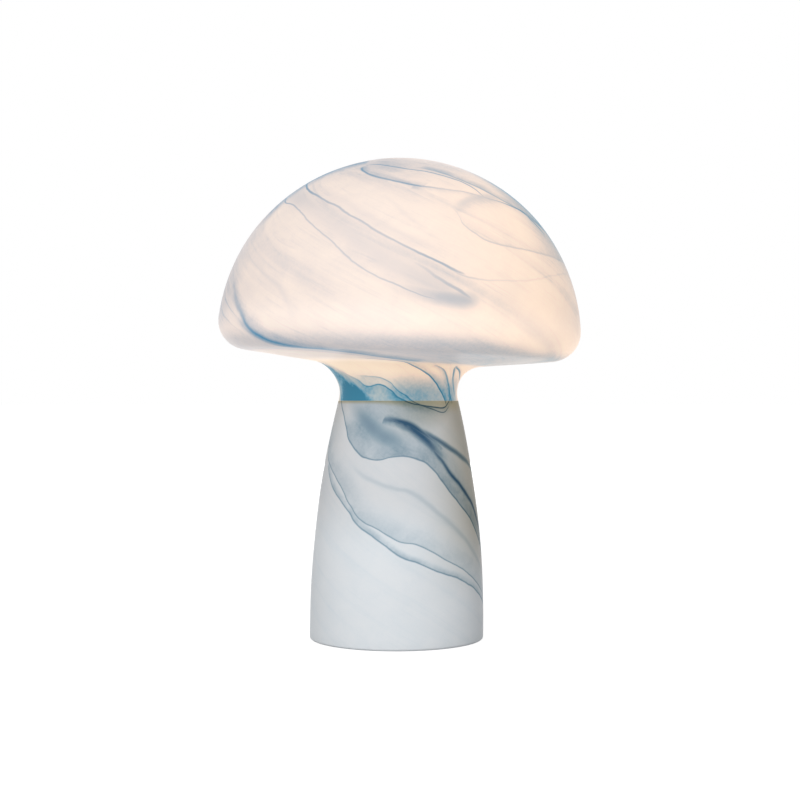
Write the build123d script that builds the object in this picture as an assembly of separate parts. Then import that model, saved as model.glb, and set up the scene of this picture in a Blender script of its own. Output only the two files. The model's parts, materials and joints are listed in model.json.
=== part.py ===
"""Mushroom table lamp: one blown glass body over a stand with a lampholder and a bulb.

Millimetres. +Z is up, the table is z = 0 and the lamp's axis is the Z axis. The side that is
looked at is -Y, and the cord inlet is at the back, +Y.
"""

from build123d import *
from math import acos, asin, atan2, cos, degrees, pi, radians, sin, sqrt, tan
import os

# ---- glass: the outer surface is a chain of tangent arcs ----
CAP_R = 110.3  # dome sphere
CAP_Z = 181.4  # dome centre
RIM_R = 17.3  # rolled rim of the cap
UNDERSIDE_SLOPE = 6.5  # degrees, the cap's underside falls towards the neck
NECK_R = 35.9  # waist
NECK_Z = 149.5
NECK_FILLET = 17.9
STEM_ARC = 583.0  # long bulge of the stem
FOOT_R = 52.9
FOOT_EDGE_R = 1.6  # fire-polished outer edge of the cut foot
WALL = 3.5
FOOT_INNER_R = FOOT_R - WALL

# ---- base of the stand ----
FOOT_H = 2.5  # rubber feet under the cover
SHEET = 1.2  # pressed steel of the pan
PAN_R = 48.0
PAN_EDGE_Z = 2.2
PAN_TOP_Z = 22.0
PAN_CORNER = 5.0
BOSS_R = 15.0  # raised centre that takes the tube nuts
BOSS_H = 3.0
COVER_R = 45.7
COVER_T = 1.0
EDGE_GAP = 0.6  # between the edge trim and the glass
TRIM_T = 0.7  # inner lip of the edge trim
TRIM_UP = 1.6  # its reach above and below the pan's edge
TRIM_DOWN = 0.9
SUPPORT_R = 33.0  # circle of the cover screws and the feet
POST_R = 3.2
POST_THREAD = 9.0
SCREW_R = 1.5
SCREW_LENGTH = 8.0
SCREW_HEAD = (2.8, 1.6)  # radius and height
CROSS = (3.2, 0.8, 1.2)  # cross recess: length, width and depth
PAD_R = 6.0  # rubber pad at the table
PAD_TOP_R = 5.4
PAD_STEM_R = 2.0  # its stem, and the hole in the cover
PAD_HEAD = (3.0, 1.4, 2.2)  # barb above the cover: widest, narrowest and height
FEET_ANGLES = (90, 210, 330)
POST_ANGLES = (30, 150, 270)

# ---- cord inlet ----
INLET_Z = 10.5
INLET_BORE_R = 3.2
INLET_BODY_R = 4.9
INLET_COLLAR_R = 6.0
INLET_END_Y = 54.2
INLET_INSIDE = 3.0  # reach behind the pan's wall
BARB = 0.9  # height of the snap-in barb
BARB_GAP = 0.6
COLLAR_T = 1.8
NOTCH_R = 7.6  # arch of the notch ground in the foot of the glass
NOTCH_Z = 9.5  # its centre
NOTCH_CUT = 20.0  # length of the cut through the foot, about its wall

# ---- centre tube, M10 ----
TUBE_R = 5.0
TUBE_BORE_R = 3.9
TUBE_BOTTOM_Z = 17.0
TUBE_TOP_Z = 106.0
NUT_ACROSS = 14.0
NUT_H = 4.0
NUT_CORNER = (0.8, 0.6)  # turned off: along the radius and the height
WASHER_T = 1.0
WASHER_R = 10.0
LOCK_WASHER_R = (8.0, 6.0)  # outside, and at the roots of the teeth
TOOTH = (1.0, 1.6)
TEETH = 10

# ---- lampholder, E27 ----
CAP_BOTTOM_Z = 98.0
CAP_TOP_Z = 126.8
HUB = (8.5, 104.0)  # threaded hub under the cup: radius and top
CUP_SHOULDER_Z = 112.0
CUP_FLOOR = (11.0, 107.0)  # inside: radius and height
CUP_WALL = 2.2
CUP_INSIDE_Z = 113.2
HOLDER_R = 20.2
SPIGOT_Z = 118.0  # lower end of the barrel inside the cup
LOCK_Z = CAP_BOTTOM_Z + 2.6
LOCK_Y = -7.1
LOCK_LENGTH = 4.2
BARREL_R = 19.6  # outside, where the shade rings screw on
BARREL_BORE_R = 14.0
MOUTH_Z = 162.0
CORE_R = 16.8
CORE_Z = (124.0, 134.0)
TERMINAL_X = 8.0
TERMINAL_SCREW_X = 12.5
TERMINAL_HEAD = (2.3, 1.8)  # radius and height
CONTACT_T = 0.5
CONTACT_WIDTH = 5.0
SIDE_CONTACT = (0.4, 4.0, 10.0)  # thickness, width and height

# ---- shield disc in the neck ----
DISC_Z = 143.0
DISC_T = 1.5
DISC_R = 31.0
RING_FLANGE_R = 28.5
RING_GRIP_R = 23.5
RING_FLANGE_T = 1.8
RING_H = 8.0
RING_RIBS = 24
RIB_R = 0.8
TRIM_OUT = 0.9  # the disc's soft edge: beyond its rim, over its faces and up from them
TRIM_IN = 1.2
TRIM_BELOW = 0.7
TRIM_ABOVE = 0.5

# ---- bulb, E27 small globe ----
PIN_Z = 137.0  # bottom of the bulb
BULB_LENGTH = 78.0
PIN_R = 4.0
INSULATOR_R = 7.0
SHELL_LOW_Z = PIN_Z + 3.5
HOUSING_WALL = 1.5
PLATE_T = 1.4
CHIP = (2.8, 3.5, 0.8)
CHIP_CIRCLE_R = 10.0
BOARD = (18.0, 1.6, 20.0)
GLOBE_R = 22.5
GLOBE_WALL = 1.0
SHELL_R = 13.0
SHELL_T = 0.4
SHELL_TOP_Z = PIN_Z + 27.0
GLOBE_Z = PIN_Z + BULB_LENGTH - GLOBE_R
GLOBE_BASE_R = 17.5

# ---- wiring ----
LEAD_R = 1.0
LEAD_Y = 1.25  # the two leads lie side by side in the tube
BLOCK_X = 28.0
BLOCK_SIZE = (17.0, 18.0, 13.0)
BLOCK_PITCH = 8.0
BLOCK_FOOT = (5.0, 3.0)  # raised foot under the pan's roof: length and height
SLEEVE_R = 2.4
SLEEVE_LENGTH = 15.0
SCREW_OUT = 5.0  # the clamping screws, out from the block's middle
WIRE_Z = 12.5


def turned(*edges):
    """Solid turned about Z from a closed outline of edges in radius and height."""
    return revolve(Plane.XZ * make_face(Curve() + list(edges)), Axis.Z)


def turned_outline(points, radii):
    """Solid turned about Z from straight lines with rounded corners."""
    return turned(*FilletPolyline(*points, radius=radii, close=True).edges())


def disc(radius, z0, z1, bore=0.0):
    """Plain round plate or tube between two heights."""
    plate = Pos(0, 0, z0) * Cylinder(radius, z1 - z0, align=(Align.CENTER, Align.CENTER, Align.MIN))
    if bore:
        plate -= Pos(0, 0, (z0 + z1) / 2) * Cylinder(bore, z1 - z0 + 2)
    return plate


def around(solid, angles, radius):
    """Copies of a solid, each set out at an angle on a circle about Z."""
    return [Rot(0, 0, a) * Pos(radius, 0, 0) * solid for a in angles]


def arc(centre, radius, start, end):
    return CenterArc(centre, radius, start, end - start)


def glass_surface(inset):
    """Edges of the glass from its crown to its foot, moved inwards by inset."""
    slope = radians(UNDERSIDE_SLOPE)
    neck = (NECK_R + NECK_FILLET, NECK_Z)
    down = (sin(slope), -cos(slope))  # normal of the cap's underside
    out = (cos(slope), sin(slope))
    # the rim's centre lies above the underside by RIM_R and inside the dome by RIM_R
    x0 = neck[0] - down[0] * (NECK_FILLET + RIM_R)
    z0 = neck[1] - down[1] * (NECK_FILLET + RIM_R) - CAP_Z
    along = x0 * out[0] + z0 * out[1]
    reach = -along + sqrt(along**2 - x0**2 - z0**2 + (CAP_R - RIM_R) ** 2)
    rim = (x0 + reach * out[0], z0 + reach * out[1] + CAP_Z)
    rim_angle = degrees(atan2(rim[1] - CAP_Z, rim[0]))
    # the stem's bulge touches the neck fillet from outside and is upright at the foot
    stem_x = FOOT_R - STEM_ARC
    stem_angle = degrees(acos((neck[0] - stem_x) / (STEM_ARC + NECK_FILLET)))
    stem = (stem_x, neck[1] - (STEM_ARC + NECK_FILLET) * sin(radians(stem_angle)))
    fillet_r = NECK_FILLET + inset
    crown = arc((0, CAP_Z), CAP_R - inset, 90, rim_angle)
    roll = arc(rim, RIM_R - inset, rim_angle, UNDERSIDE_SLOPE - 90)
    waist = arc(neck, fillet_r, 90 + UNDERSIDE_SLOPE, 180 + stem_angle)
    bulge = arc(stem, STEM_ARC - inset, stem_angle, 0)
    underside = Line(roll @ 1, waist @ 0)
    return [crown, roll, underside, waist, bulge]


def glass_shade():
    """One-piece blown body: domed cap, waist and flared stem, open at its ground foot."""
    outer = glass_surface(0)
    inner = glass_surface(WALL)
    foot = FilletPolyline(
        outer[-1] @ 1,
        (FOOT_R, 0),
        (FOOT_INNER_R, 0),
        inner[-1] @ 1,
        radius=[FOOT_EDGE_R, FOOT_EDGE_R / 2],
    )
    crown = Line(inner[0] @ 0, outer[0] @ 0)
    body = turned(*outer, *inner, *foot.edges(), crown)
    # the cord's inlet passes the foot through a notch that is open downwards
    slot = Pos(0, FOOT_R, NOTCH_Z) * Rot(90, 0, 0) * Cylinder(NOTCH_R, NOTCH_CUT)
    slot += Pos(0, FOOT_R, 0) * Box(2 * NOTCH_R, NOTCH_CUT, 2 * NOTCH_Z)
    return body - slot


def base_pan():
    """Pressed steel pan, upside down, with a raised centre and a hole at the back."""
    under = PAN_TOP_Z - SHEET
    slope = BOSS_R + BOSS_H
    points = [
        (PAN_R, PAN_EDGE_Z),
        (PAN_R, PAN_TOP_Z),
        (slope, PAN_TOP_Z),
        (BOSS_R, PAN_TOP_Z + BOSS_H),
        (TUBE_R, PAN_TOP_Z + BOSS_H),
        (TUBE_R, under + BOSS_H),
        (BOSS_R - SHEET / 2, under + BOSS_H),
        (slope - SHEET / 2, under),
        (PAN_R - SHEET, under),
        (PAN_R - SHEET, PAN_EDGE_Z),
    ]
    bend = SHEET
    radii = [0, PAN_CORNER, bend, bend, 0, 0, bend, bend, PAN_CORNER - SHEET, 0]
    hole = Pos(0, PAN_R, INLET_Z) * Rot(90, 0, 0) * Cylinder(INLET_BODY_R, 2 * PAN_CORNER)
    return turned_outline(points, radii) - hole


def edge_trim():
    """Soft channel on the pan's lower edge that centres the foot of the glass."""
    outer = FOOT_INNER_R - EDGE_GAP
    inner = PAN_R - SHEET - TRIM_T
    top = PAN_EDGE_Z + TRIM_UP
    bottom = PAN_EDGE_Z - TRIM_DOWN
    points = [
        (inner, bottom),
        (outer, bottom),
        (outer, top),
        (PAN_R, top),
        (PAN_R, PAN_EDGE_Z),
        (PAN_R - SHEET, PAN_EDGE_Z),
        (PAN_R - SHEET, top),
        (inner, top),
    ]
    return turned_outline(points, [0.3, 0.3, 0.3, 0, 0, 0, 0, 0.3])


def bottom_cover():
    """Flat disc that closes the pan, with holes for its screws and the feet."""
    cover = disc(COVER_R, FOOT_H, FOOT_H + COVER_T)
    through = FOOT_H + 2 * COVER_T
    for hole in around(disc(SCREW_R, 0, through), POST_ANGLES, SUPPORT_R):
        cover -= hole
    for hole in around(disc(PAD_STEM_R, 0, through), FEET_ANGLES, SUPPORT_R):
        cover -= hole
    return cover


def pan_posts():
    """Threaded posts between the pan's roof and the cover."""
    foot = FOOT_H + COVER_T
    post = disc(POST_R, foot, PAN_TOP_Z - SHEET) - disc(SCREW_R, foot, foot + POST_THREAD)
    return around(post, POST_ANGLES, SUPPORT_R)


def cover_screws():
    """Pan-head screws, heads below the cover and clear of the table."""
    head_r, head_h = SCREW_HEAD
    length, width, depth = CROSS
    head = fillet(disc(head_r, FOOT_H - head_h, FOOT_H).edges().sort_by(Axis.Z)[0], 0.9)
    cross = Box(length, width, depth) + Box(width, length, depth)
    head -= Pos(0, 0, FOOT_H - head_h + 0.2) * cross
    screw = head + disc(SCREW_R, FOOT_H, FOOT_H + SCREW_LENGTH)
    return around(screw, POST_ANGLES, SUPPORT_R)


def rubber_feet():
    """Push-in feet: a pad below the cover, and a stem with a head above it."""
    top = FOOT_H + COVER_T
    wide, narrow, height = PAD_HEAD
    points = [
        (0, 0),
        (PAD_R, 0),
        (PAD_TOP_R, FOOT_H),
        (PAD_STEM_R, FOOT_H),
        (PAD_STEM_R, top),
        (wide, top),
        (narrow, top + height),
        (0, top + height),
    ]
    foot = turned_outline(points, [0, 0.6, 0, 0, 0, 0, 0.4, 0])
    return around(foot, FEET_ANGLES, SUPPORT_R)


def cord_bush():
    """Snap-in bush for the cord, its bore along Y, proud of the glass by a little."""
    back = PAN_R - SHEET  # inner face of the pan's wall
    collar = PAN_R + 0.1
    points = [
        (INLET_BORE_R, back - INLET_INSIDE),
        (INLET_BODY_R, back - INLET_INSIDE),
        (INLET_BODY_R + BARB, back - BARB_GAP),
        (INLET_BODY_R, back - BARB_GAP),
        (INLET_BODY_R, collar),
        (INLET_COLLAR_R, collar),
        (INLET_COLLAR_R, collar + COLLAR_T),
        (INLET_BODY_R, collar + COLLAR_T + 0.7),
        (INLET_BODY_R - 0.5, INLET_END_Y),
        (INLET_BORE_R, INLET_END_Y),
    ]
    bush = turned_outline(points, [0, 0.3, 0.2, 0, 0, 0.3, 0.4, 0.4, 0.8, 0])
    return Pos(0, 0, INLET_Z) * Rot(-90, 0, 0) * bush


def centre_tube():
    return disc(TUBE_R, TUBE_BOTTOM_Z, TUBE_TOP_Z, TUBE_BORE_R)


def hex_nut(z0):
    """Hexagon nut for the tube, with its corners turned off."""
    nut = extrude(RegularPolygon(NUT_ACROSS / 2, 6, major_radius=False), NUT_H)
    corner = NUT_ACROSS / 2 / cos(radians(30))
    inset, rise = NUT_CORNER
    side = [(corner - inset, 0), (corner, rise), (corner, NUT_H - rise), (corner - inset, NUT_H)]
    crown = turned_outline([(0, 0)] + side + [(0, NUT_H)], [0] * 6)
    return Pos(0, 0, z0) * (nut & crown) - disc(TUBE_R, z0 - 1, z0 + NUT_H + 1)


def tooth_washer(z0):
    """Lock washer with teeth round its inside."""
    outside, roots = LOCK_WASHER_R
    washer = disc(outside, z0, z0 + WASHER_T, roots)
    tooth = Pos(roots - 0.1, 0, z0 + WASHER_T / 2) * Box(*TOOTH, WASHER_T)
    for placed in PolarLocations(0, TEETH):
        washer += placed * tooth
    return washer


def holder_cap():
    """Lower cup of the lampholder, threaded on the tube and locked by a grub screw."""
    points = [
        (TUBE_R, CAP_BOTTOM_Z),
        (HUB[0], CAP_BOTTOM_Z),
        HUB,
        (HOLDER_R, CUP_SHOULDER_Z),
        (HOLDER_R, CAP_TOP_Z),
        (HOLDER_R - CUP_WALL, CAP_TOP_Z),
        (HOLDER_R - CUP_WALL, CUP_INSIDE_Z),
        CUP_FLOOR,
        (TUBE_R, CUP_FLOOR[1]),
    ]
    cup = turned_outline(points, [0, 0.8, 1.5, 3, 0.5, 0, 2, 1, 0])
    return cup - Pos(0, LOCK_Y, LOCK_Z) * Rot(90, 0, 0) * Cylinder(SCREW_R, LOCK_LENGTH + 2)


def holder_lock_screw():
    screw = Pos(0, LOCK_Y, LOCK_Z) * Rot(90, 0, 0) * Cylinder(SCREW_R, LOCK_LENGTH)
    return screw - Pos(0, LOCK_Y - LOCK_LENGTH / 2, LOCK_Z) * Box(3 * SCREW_R, 1.2, 0.6)


def holder_core():
    """Round insulator with the lead entries, the screw holes and slots for the contacts."""
    low, high = CORE_Z
    core = disc(CORE_R, low, high)
    for x in (-TERMINAL_X, TERMINAL_X):
        core -= Pos(x, 0, 0) * disc(LEAD_R + 0.1, low - 1, low + 4)
    for x in (-TERMINAL_SCREW_X, TERMINAL_SCREW_X):
        core -= Pos(x, 0, 0) * disc(SCREW_R, low - 1, low + 6)
    return core - Pos(SHELL_R + 0.5, 0, high) * Box(*SIDE_CONTACT[:2], 4)


def terminal_screws():
    """Cheese-head screws on the underside of the core."""
    low = CORE_Z[0]
    head_r, head_h = TERMINAL_HEAD
    head = disc(head_r, low - head_h, low) - Pos(0, 0, low - head_h) * Box(3 * head_r, 0.7, 1.4)
    screw = head + disc(SCREW_R, low, low + 5)
    return [Pos(x, 0, 0) * screw for x in (-TERMINAL_SCREW_X, TERMINAL_SCREW_X)]


def holder_barrel():
    """Upper sleeve of the lampholder: the bulb screws in, the shade rings screw on."""
    ledge = CORE_Z[1]
    spigot = HOLDER_R - CUP_WALL
    points = [
        (CORE_R, SPIGOT_Z),
        (spigot, SPIGOT_Z),
        (spigot, CAP_TOP_Z),
        (BARREL_R, CAP_TOP_Z),
        (BARREL_R, MOUTH_Z - 1.2),
        (BARREL_R - 1.2, MOUTH_Z),
        (BARREL_BORE_R + 1.6, MOUTH_Z),
        (BARREL_BORE_R, MOUTH_Z - 1.6),
        (BARREL_BORE_R, ledge),
        (CORE_R, ledge),
    ]
    return turned_outline(points, [0, 0, 0, 0.5, 0.4, 0.4, 0.6, 0.6, 0, 0])


def strip(points, thickness, width):
    """Bent strip of sheet: a line in the XZ plane, made thick and as wide along Y."""
    path = FilletPolyline(*points, radius=[0.8] * (len(points) - 2))
    face = Plane.XZ * trace(path, thickness)
    return extrude(face, width / 2, both=True)


def centre_contact():
    """Spring strip under the bulb's pin."""
    flat = CORE_Z[1] + CONTACT_T / 2
    raised = PIN_Z - CONTACT_T / 2 - 0.4
    points = [(-11, flat), (-5.5, flat), (-1.5, raised), (3, raised), (5, flat + 0.9)]
    return strip(points, CONTACT_T, CONTACT_WIDTH)


def side_contact():
    """Upright spring strip beside the bulb's threaded shell."""
    low = CORE_Z[1] - 2
    blade = Pos(SHELL_R + 0.5, 0, low + SIDE_CONTACT[2] / 2) * Box(*SIDE_CONTACT)
    return fillet(blade.edges().filter_by(Axis.X).group_by(Axis.Z)[-1], 1.5)


def shade_ring():
    """Ring with a wide flange on top and a ribbed grip below, thread inside."""
    flange_z = RING_H - RING_FLANGE_T
    points = [
        (BARREL_R, 0),
        (RING_GRIP_R - RIB_R, 0),
        (RING_GRIP_R, flange_z),
        (RING_FLANGE_R, flange_z),
        (RING_FLANGE_R, RING_H),
        (BARREL_R, RING_H),
    ]
    ring = turned_outline(points, [0, 0.5, 0.6, 0.6, 0, 0])
    rib = Pos(RING_GRIP_R - 0.3, 0, (flange_z + RIB_R) / 2) * Cylinder(RIB_R, flange_z - RIB_R)
    for placed in PolarLocations(0, RING_RIBS):
        ring += placed * rib
    return ring


def lower_shade_ring():
    return Pos(0, 0, DISC_Z - RING_H) * shade_ring()


def upper_shade_ring():
    return Pos(0, 0, DISC_Z + DISC_T + RING_H) * Rot(180, 0, 0) * shade_ring()


def neck_disc():
    """Opaque disc that ends the light at the waist of the glass."""
    return disc(DISC_R, DISC_Z, DISC_Z + DISC_T, BARREL_R)


def disc_edge_trim():
    """Soft channel on the disc's edge, just clear of the glass."""
    outer = DISC_R + TRIM_OUT
    inner = DISC_R - TRIM_IN
    low, high = DISC_Z - TRIM_BELOW, DISC_Z + DISC_T + TRIM_ABOVE
    points = [
        (inner, low),
        (outer, low),
        (outer, high),
        (inner, high),
        (inner, DISC_Z + DISC_T),
        (DISC_R, DISC_Z + DISC_T),
        (DISC_R, DISC_Z),
        (inner, DISC_Z),
    ]
    return turned_outline(points, [0.2, 0.3, 0.3, 0.2, 0, 0, 0, 0])


def terminal_block():
    """Two-pole screw block under the pan's roof, its wire holes along X."""
    length, width, height = BLOCK_SIZE
    top = PAN_TOP_Z - SHEET
    foot, rise = BLOCK_FOOT
    body = Pos(BLOCK_X, 0, top - (height + rise) / 2) * Box(length, width, height - rise)
    body += Pos(BLOCK_X, 0, top - rise / 2) * Box(foot, width / 2, rise)
    body = fillet(body.edges().filter_by(Axis.Z), 0.6)
    for y in (-BLOCK_PITCH / 2, BLOCK_PITCH / 2):
        body -= Pos(BLOCK_X, y, WIRE_Z) * Rot(0, 90, 0) * Cylinder(SLEEVE_R, length + 2)
        for x in (-SCREW_OUT, SCREW_OUT):
            body -= Pos(BLOCK_X + x, y, 0) * disc(SCREW_R, 0, WIRE_Z)
    return body


def block_sleeves():
    """Brass sleeves in the block that clamp the wires."""
    sleeves = []
    for y in (-BLOCK_PITCH / 2, BLOCK_PITCH / 2):
        bore = Cylinder(LEAD_R + 0.1, SLEEVE_LENGTH + 1)
        sleeve = Rot(0, 90, 0) * (Cylinder(SLEEVE_R, SLEEVE_LENGTH) - bore)
        for x in (-SCREW_OUT, SCREW_OUT):
            sleeve -= Pos(x, 0, -2) * Cylinder(SCREW_R, 4)  # screw hole below
        sleeves.append(Pos(BLOCK_X, y, WIRE_Z) * sleeve)
    return sleeves


def block_screws():
    """Clamping screws, driven from below."""
    low = WIRE_Z - 5.2
    screw = disc(SCREW_R, low, WIRE_Z - LEAD_R - 0.1) - Pos(0, 0, low) * Box(4, 0.6, 1.6)
    screws = []
    for x in (-SCREW_OUT, SCREW_OUT):
        screws += [Pos(BLOCK_X + x, y, 0) * screw for y in (-BLOCK_PITCH / 2, BLOCK_PITCH / 2)]
    return screws


def bend_radii(route):
    """Largest bend at each inner point: 0.45 of the shorter run over tan(half the turn)."""
    radii = []
    for before, here, after in zip(route, route[1:], route[2:]):
        first = Vector(*here) - Vector(*before)
        second = Vector(*after) - Vector(*here)
        turn = radians(first.get_angle(second))
        radii.append(0.45 * min(first.length, second.length) / tan(turn / 2))
    return radii


def lead(side):
    """Insulated core from the block, up the tube and out to one terminal of the holder."""
    route = [
        (BLOCK_X - BLOCK_SIZE[0] / 2 + 4, side * BLOCK_PITCH / 2, WIRE_Z),
        (BLOCK_X - BLOCK_SIZE[0] / 2 - 3, side * BLOCK_PITCH / 2, WIRE_Z),
        (0, side * LEAD_Y, WIRE_Z - 0.5),
        (0, side * LEAD_Y, TUBE_TOP_Z + 2),
        (side * TERMINAL_X, 0, TUBE_TOP_Z + 10),
        (side * TERMINAL_X, 0, CORE_Z[0] + 3),
    ]
    radii = bend_radii(route)
    path = FilletPolyline(*route, radius=radii)
    wire = sweep(Plane(path @ 0, z_dir=path % 0) * Circle(LEAD_R), path)
    print("lead", side, "length", round(path.length, 1), "bends", [round(r, 1) for r in radii])
    print("volume over section times length", round(wire.volume / (pi * LEAD_R**2 * path.length), 4))
    return wire


def bulb_shell():
    """Threaded metal cap of the bulb: a thin cup with a cone at its lower end."""
    low = SHELL_LOW_Z
    inner = SHELL_R - SHELL_T
    points = [
        (INSULATOR_R, low),
        (SHELL_R - 1.6, low + 2.5),
        (SHELL_R, low + 4),
        (SHELL_R, SHELL_TOP_Z),
        (inner, SHELL_TOP_Z),
        (inner, low + 4.2),
        (SHELL_R - 2, low + 2.9),
        (INSULATOR_R, low + SHELL_T),
    ]
    return turned_outline(points, [0] * 8)


def bulb_insulator():
    """Dark glass button between the shell and the pin."""
    low = PIN_Z + 1.2
    edge = SHELL_LOW_Z
    wide = INSULATOR_R
    points = [(0, low), (PIN_R + 0.5, low), (wide, edge), (wide, edge + 1.7), (0, edge + 1.7)]
    return turned_outline(points, [0, 0, 0.5, 0, 0]) - disc(PIN_R, PIN_Z, low + 1)


def bulb_pin():
    """Centre contact of the bulb."""
    step, top = PIN_Z + 1.2, PIN_Z + 2.2
    points = [(0, PIN_Z), (PIN_R - 0.8, PIN_Z), (PIN_R, step), (PIN_R, top), (0, top)]
    return turned_outline(points, [0, 0.8, 0, 0, 0])


def bulb_housing():
    """Flared plastic body from the shell up to the globe, hollow for the driver."""
    seat = GLOBE_Z - sqrt(GLOBE_R**2 - GLOBE_BASE_R**2)
    low = SHELL_TOP_Z - 10
    neck = SHELL_R - SHELL_T
    points = [
        (neck - HOUSING_WALL, low),
        (neck, low),
        (neck, SHELL_TOP_Z),
        (SHELL_R + 0.4, SHELL_TOP_Z),
        (GLOBE_BASE_R, seat - 3),
        (GLOBE_BASE_R, seat),
        (GLOBE_BASE_R - GLOBE_WALL - 1.0, seat),
        (GLOBE_BASE_R - GLOBE_WALL - 1.0, seat - 2),
        (neck - HOUSING_WALL, SHELL_TOP_Z),
    ]
    return turned_outline(points, [0, 0, 0, 0.3, 2, 0, 0, 0, 0])


def led_plate():
    """Round aluminium board in the housing's mouth."""
    seat = GLOBE_Z - sqrt(GLOBE_R**2 - GLOBE_BASE_R**2)
    return disc(GLOBE_BASE_R - GLOBE_WALL - 1.1, seat - 0.5 - PLATE_T, seat - 0.5)


def led_chips():
    seat = GLOBE_Z - sqrt(GLOBE_R**2 - GLOBE_BASE_R**2)
    chip = Pos(0, 0, seat - 0.5 + CHIP[2] / 2) * Box(*CHIP)
    return around(chip, range(0, 360, 45), CHIP_CIRCLE_R)


def driver_board():
    """Upright circuit board inside the housing."""
    return Pos(0, 0, SHELL_TOP_Z - 7) * Box(*BOARD)


def bulb_globe():
    """Opal globe, seated on the housing."""
    start = degrees(asin(-sqrt(GLOBE_R**2 - GLOBE_BASE_R**2) / GLOBE_R))
    outside = arc((0, GLOBE_Z), GLOBE_R, start, 90)
    inside_r = GLOBE_R - GLOBE_WALL
    seat = GLOBE_Z - sqrt(GLOBE_R**2 - GLOBE_BASE_R**2)
    inside_start = -degrees(asin((GLOBE_Z - seat) / inside_r))
    inside = arc((0, GLOBE_Z), inside_r, inside_start, 90)
    return turned(outside, inside, Line(outside @ 0, inside @ 0), Line(outside @ 1, inside @ 1))


def lock_washer():
    return tooth_washer(PAN_TOP_Z - SHEET + BOSS_H - WASHER_T)


def lower_tube_nut():
    return hex_nut(PAN_TOP_Z - SHEET + BOSS_H - WASHER_T - NUT_H)


def upper_washer():
    return disc(WASHER_R, PAN_TOP_Z + BOSS_H, PAN_TOP_Z + BOSS_H + WASHER_T, TUBE_R)


def upper_tube_nut():
    return hex_nut(PAN_TOP_Z + BOSS_H + WASHER_T)


def live_lead():
    return lead(1)


def neutral_lead():
    return lead(-1)


PIECES = [
    glass_shade,
    base_pan,
    edge_trim,
    bottom_cover,
    pan_posts,
    cover_screws,
    rubber_feet,
    cord_bush,
    terminal_block,
    block_sleeves,
    block_screws,
    centre_tube,
    lower_tube_nut,
    lock_washer,
    upper_washer,
    upper_tube_nut,
    live_lead,
    neutral_lead,
    holder_cap,
    holder_lock_screw,
    holder_core,
    terminal_screws,
    centre_contact,
    side_contact,
    holder_barrel,
    lower_shade_ring,
    neck_disc,
    disc_edge_trim,
    upper_shade_ring,
    bulb_pin,
    bulb_insulator,
    bulb_shell,
    driver_board,
    bulb_housing,
    led_plate,
    led_chips,
    bulb_globe,
]


def main():
    os.makedirs("parts", exist_ok=True)
    for make in PIECES:
        piece = make()
        if isinstance(piece, list):
            piece = Compound(children=[solid for part in piece for solid in part.solids()])
        export_step(piece, f"parts/{make.__name__}.step")


main()
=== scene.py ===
"""Mushroom table lamp of marbled opal glass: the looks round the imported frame.

Metres, +Z up, the viewed side is -Y. The glass is turned from the same arcs as the frame's, with
the slight lean of a hand-blown body. Its marbling is drawn in azimuth (degrees, 0 in front and
positive to the right) and in run (millimetres along the outside, from the crown to the foot).
"""

import json
from math import acos, atan2, cos, degrees, hypot, pi, radians, sin, sqrt

import bpy
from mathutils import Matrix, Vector

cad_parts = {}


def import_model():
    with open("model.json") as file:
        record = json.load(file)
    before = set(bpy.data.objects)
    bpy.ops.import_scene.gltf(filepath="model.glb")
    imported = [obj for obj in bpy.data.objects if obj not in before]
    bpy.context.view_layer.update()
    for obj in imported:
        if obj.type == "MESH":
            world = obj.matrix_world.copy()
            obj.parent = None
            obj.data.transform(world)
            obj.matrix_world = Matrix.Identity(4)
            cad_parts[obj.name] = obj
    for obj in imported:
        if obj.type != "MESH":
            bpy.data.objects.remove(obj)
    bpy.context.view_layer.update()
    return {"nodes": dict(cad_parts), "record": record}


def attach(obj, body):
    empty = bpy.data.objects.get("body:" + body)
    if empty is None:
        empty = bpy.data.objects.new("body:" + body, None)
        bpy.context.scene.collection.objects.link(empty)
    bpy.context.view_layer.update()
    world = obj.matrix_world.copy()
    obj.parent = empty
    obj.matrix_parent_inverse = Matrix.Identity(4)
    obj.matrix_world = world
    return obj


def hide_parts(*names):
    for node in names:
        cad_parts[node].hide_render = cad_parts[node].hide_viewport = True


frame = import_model()

MM = 0.001

# ---- camera, from the photograph ----
CAMERA_DISTANCE = 925.8
CAMERA_HEIGHT = 145.05
CAMERA_SHIFT = 1.01
LENS = 68.2
SENSOR = 36.0

# ---- studio ----
AMBIENT = 0.5  # the world's light on the lamp
FLOOR_REACH = 40.0
FLOOR_GREY = 0.36
FLOOR_GLOW = 0.85  # with the lamps' light on it, this makes the floor plain white
LAMP_SIZE = 1.6
LAMP_AIM = (0, 0, 0.15)

# ---- glass, in millimetres ----
CAP_R = 110.3
CAP_Z = 181.4
RIM_R = 17.3
UNDERSIDE_SLOPE = 6.5
NECK_R = 35.9
NECK_Z = 149.5
NECK_FILLET = 17.9
STEM_ARC = 583.0
FOOT_R = 52.9
FOOT_EDGE_R = 1.6
WALL = 3.5
NOTCH_R = 7.6
NOTCH_Z = 9.5
LEAN = 0.0075  # sideways per height
TILT = 2.35  # degrees, the cap's right side hangs lower
AROUND = 192  # faces round the glass
FOOT_LIP = 0.8  # bevel of its inner edge
LIGHT_EDGE = 144.6  # height at which the shield disc ends the light


def rgb(r, g, b):
    """A colour given as 0-255 display values, as the linear values that a socket takes."""
    parts = [v / 255 for v in (r, g, b)]
    return tuple(v / 12.92 if v <= 0.04045 else ((v + 0.055) / 1.055) ** 2.4 for v in parts) + (1.0,)


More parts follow.
